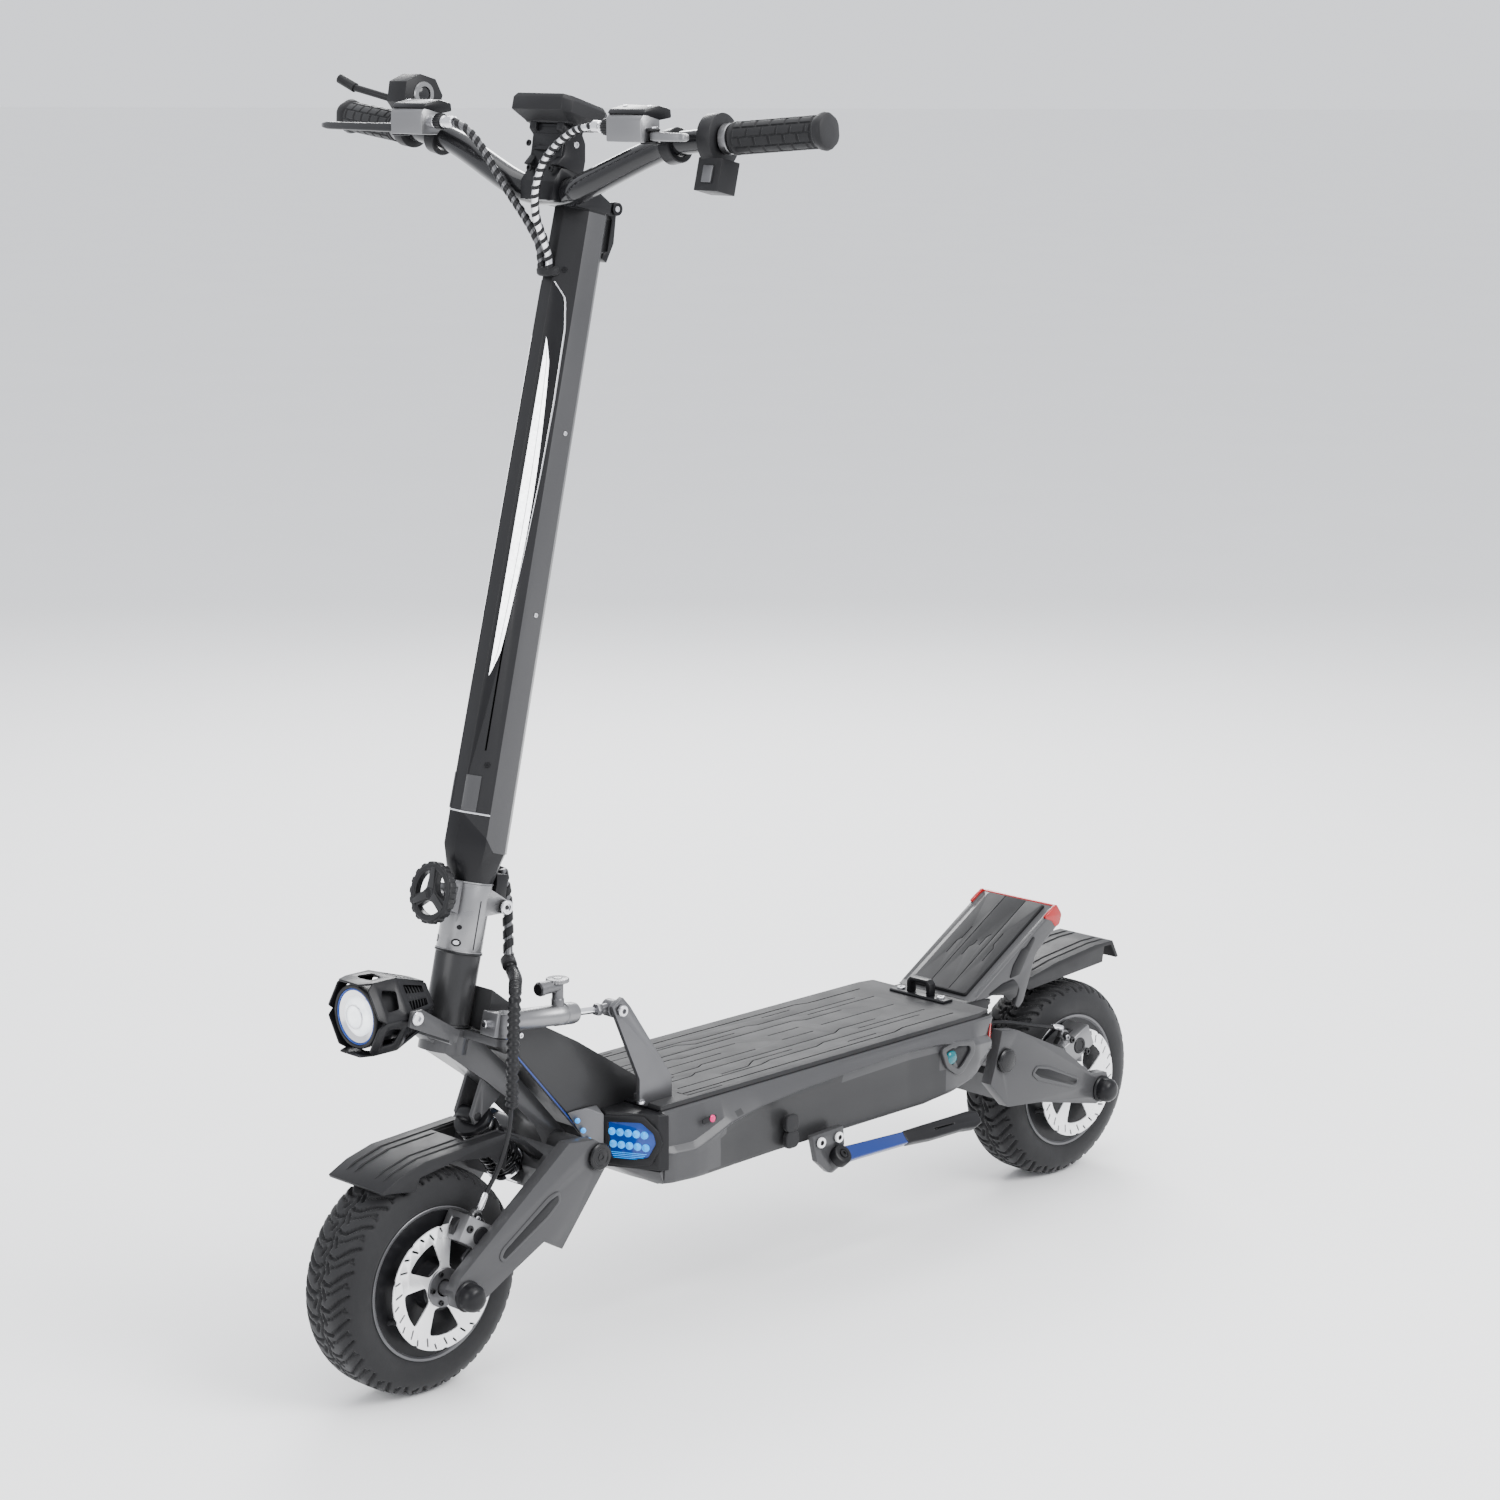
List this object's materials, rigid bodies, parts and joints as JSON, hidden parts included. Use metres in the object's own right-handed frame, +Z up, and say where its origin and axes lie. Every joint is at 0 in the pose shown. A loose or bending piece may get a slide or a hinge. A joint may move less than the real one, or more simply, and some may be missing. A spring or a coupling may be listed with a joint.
{
  "type": "electric kick scooter",
  "caption": "Folding electric kick scooter with sprung swing arms, disc-braked hub motors, wide deck, steering damper and curved handlebar.",
  "frame": {"origin": "on the ground, in the mid-plane, half way between the axles", "axes": "+Z up, -Y the direction of travel, +X the rider's left"},
  "size_m": [0.764, 1.327, 1.4102],
  "materials": {
    "painted_grey": "satin",
    "dark_grey": "satin",
    "black_metal": "satin",
    "alloy": "satin",
    "steel": "brushed",
    "chrome_rod": "polished",
    "black_plastic": "matte",
    "rubber": "matte",
    "tyre": "matte",
    "lamp_blue": "gloss",
    "battery": "matte",
    "stator": "satin",
    "lamp_white": "gloss"
  },
  "bodies": {
    "deck": {"deck_tub": "dark_grey", "deck_lid": "dark_grey", "deck_mat": "rubber", "side_covers": "painted_grey", "nose_bezel": "black_plastic", "marker_lights": "lamp_blue", "neck": "painted_grey", "battery_pack": "battery", "motor_controllers": "battery", "kick_tail": "painted_grey", "latch_loop": "black_metal", "damper_bracket": "alloy", "stand_bracket": "black_metal", "rear_fender": "black_plastic", "rear_pivot_bolt": "black_metal"},
    "fork": {"fork_arm": "painted_grey", "fold_collar": "alloy", "pivot_pins": "steel"},
    "stem": {"stem_tube": "painted_grey", "stem_boot": "black_metal", "stem_light_panels": "lamp_white", "bar_clamp": "dark_grey", "handlebar": "dark_grey", "grips": "rubber", "brake_masters": "alloy", "throttle_body": "black_plastic", "switch_pod": "black_plastic", "display": "black_plastic", "stem_harness": "black_plastic"},
    "hook": {"fold_hook": "black_metal"},
    "lever_left": {"brake_lever_left": "alloy"},
    "lever_right": {"brake_lever_right": "alloy"},
    "throttle": {"throttle_lever": "alloy"},
    "button": {"switch_button": "black_plastic"},
    "knob": {"clamp_knob": "dark_grey"},
    "lamp": {"headlight": "black_metal"},
    "front_arm": {"front_swingarm": "painted_grey", "front_fender": "black_plastic", "front_caliper": "dark_grey", "front_motor_core": "stator"},
    "front_wheel": {"front_tyre": "tyre", "front_hub": "dark_grey", "front_rotor": "steel"},
    "rear_arm": {"rear_swingarm": "painted_grey", "rear_caliper": "dark_grey", "rear_motor_core": "stator"},
    "rear_wheel": {"rear_tyre": "tyre", "rear_hub": "dark_grey", "rear_rotor": "steel"},
    "front_shock": {"front_shock_body": "black_metal", "front_spring": "black_metal"},
    "front_shock_foot": {"front_shock_rod": "chrome_rod"},
    "rear_shock": {"rear_shock_body": "black_metal", "rear_spring": "black_metal"},
    "rear_shock_foot": {"rear_shock_rod": "chrome_rod"},
    "damper": {"damper_body": "alloy"},
    "damper_shaft": {"damper_rod": "chrome_rod"},
    "stand": {"kickstand": "black_metal"},
    "cap_upper": {"port_cap_upper": "rubber"},
    "cap_lower": {"port_cap_lower": "rubber"}
  },
  "joints": [
    {"name": "steering", "type": "hinge", "parent": "deck", "child": "fork", "pos_m": [0, -0.462, 0.48], "axis": [0, 0.2334, 0.9724], "range_deg": [-23, 23]},
    {"name": "stem_fold", "type": "hinge", "parent": "fork", "child": "stem", "pos_m": [0, -0.41589, 0.52426], "axis": [-1, 0, 0], "range_deg": [0, 88]},
    {"name": "fold_hook_swing", "type": "hinge", "parent": "stem", "child": "hook", "pos_m": [0, -0.23362, 1.26847], "axis": [1, 0, 0], "range_deg": [0, 40]},
    {"name": "brake_left", "type": "hinge", "parent": "stem", "child": "lever_left", "pos_m": [0.203, -0.35843, 1.35317], "axis": [0, 0, 1], "range_deg": [0, 12], "stiffness_Nm_per_rad": 0.3, "springref_deg": -5.73},
    {"name": "brake_right", "type": "hinge", "parent": "stem", "child": "lever_right", "pos_m": [-0.203, -0.35843, 1.35317], "axis": [0, 0, -1], "range_deg": [0, 14], "stiffness_Nm_per_rad": 0.3, "springref_deg": -5.73},
    {"name": "throttle_twist", "type": "hinge", "parent": "stem", "child": "throttle", "pos_m": [-0.268, -0.30043, 1.38417], "axis": [1, 0, 0], "range_deg": [0, 20], "stiffness_Nm_per_rad": 0.1, "springref_deg": -11.46},
    {"name": "switch_press", "type": "slide", "parent": "stem", "child": "button", "axis": [0, 0.9724, -0.2334], "range_m": [0, 0.0015], "stiffness_N_per_m": 400, "springref_m": -0.001},
    {"name": "clamp_screw", "type": "hinge", "parent": "fork", "child": "knob", "pos_m": [0, -0.4971, 0.55013], "axis": [0, 0.9724, -0.2334], "range_deg": [-90, 90]},
    {"name": "headlight_tilt", "type": "hinge", "parent": "fork", "child": "lamp", "pos_m": [0, -0.565, 0.434], "axis": [1, 0, 0], "range_deg": [-15, 15]},
    {"name": "front_arm_swing", "type": "hinge", "parent": "fork", "child": "front_arm", "pos_m": [0, -0.343, 0.24], "axis": [-1, 0, 0], "range_deg": [-3, 8], "stiffness_Nm_per_rad": 400, "springref_deg": -5.01},
    {"name": "front_wheel_spin", "type": "hinge", "parent": "front_arm", "child": "front_wheel", "pos_m": [0, -0.536, 0.1275], "axis": [1, 0, 0], "continuous": true},
    {"name": "rear_arm_swing", "type": "hinge", "parent": "deck", "child": "rear_arm", "pos_m": [0, 0.345, 0.205], "axis": [1, 0, 0], "range_deg": [-3, 8], "stiffness_Nm_per_rad": 500, "springref_deg": -5.01},
    {"name": "rear_wheel_spin", "type": "hinge", "parent": "rear_arm", "child": "rear_wheel", "pos_m": [0, 0.536, 0.1275], "axis": [1, 0, 0], "continuous": true},
    {"name": "front_shock_tilt", "type": "hinge", "parent": "fork", "child": "front_shock", "pos_m": [0, -0.451, 0.292], "axis": [-1, 0, 0], "range_deg": [-2, 2]},
    {"name": "front_shock_stroke", "type": "slide", "parent": "front_shock", "child": "front_shock_foot", "axis": [0, 0.6031, -0.7977], "range_m": [-0.009, 0.004], "deforming": ["front_spring"]},
    {"name": "rear_shock_tilt", "type": "hinge", "parent": "deck", "child": "rear_shock", "pos_m": [0, 0.391, 0.267], "axis": [1, 0, 0], "range_deg": [-2, 3]},
    {"name": "rear_shock_stroke", "type": "slide", "parent": "rear_shock", "child": "rear_shock_foot", "axis": [0, -0.2316, -0.9728], "range_m": [-0.006, 0.003], "deforming": ["rear_spring"]},
    {"name": "damper_turn", "type": "hinge", "parent": "fork", "child": "damper", "pos_m": [0.066, -0.46331, 0.41244], "axis": [0, 0.2334, 0.9724], "range_deg": [-27, 27]},
    {"name": "damper_stroke", "type": "slide", "parent": "damper", "child": "damper_shaft", "axis": [0, 0.9949, -0.1011], "range_m": [-0.03, 0.03]},
    {"name": "kickstand_swing", "type": "hinge", "parent": "deck", "child": "stand", "pos_m": [0.134, 0.004, 0.17], "axis": [-0.7526, -0.0228, -0.6581], "range_deg": [0, 62]},
    {"name": "port_cap_upper_pull", "type": "slide", "parent": "deck", "child": "cap_upper", "axis": [1, 0, 0], "range_m": [0, 0.012]},
    {"name": "port_cap_lower_pull", "type": "slide", "parent": "deck", "child": "cap_lower", "axis": [1, 0, 0], "range_m": [0, 0.012]}
  ],
  "couplings": [
    {"joint": "front_shock_tilt", "follows": "front_arm_swing", "ratio": -0.037},
    {"joint": "front_shock_stroke", "follows": "front_arm_swing", "m_per_rad": -0.0548},
    {"joint": "rear_shock_tilt", "follows": "rear_arm_swing", "ratio": 0.178},
    {"joint": "rear_shock_stroke", "follows": "rear_arm_swing", "m_per_rad": -0.0304},
    {"joint": "damper_turn", "follows": "steering", "ratio": -1.088},
    {"joint": "damper_stroke", "follows": "steering", "m_per_rad": -0.0654}
  ]
}
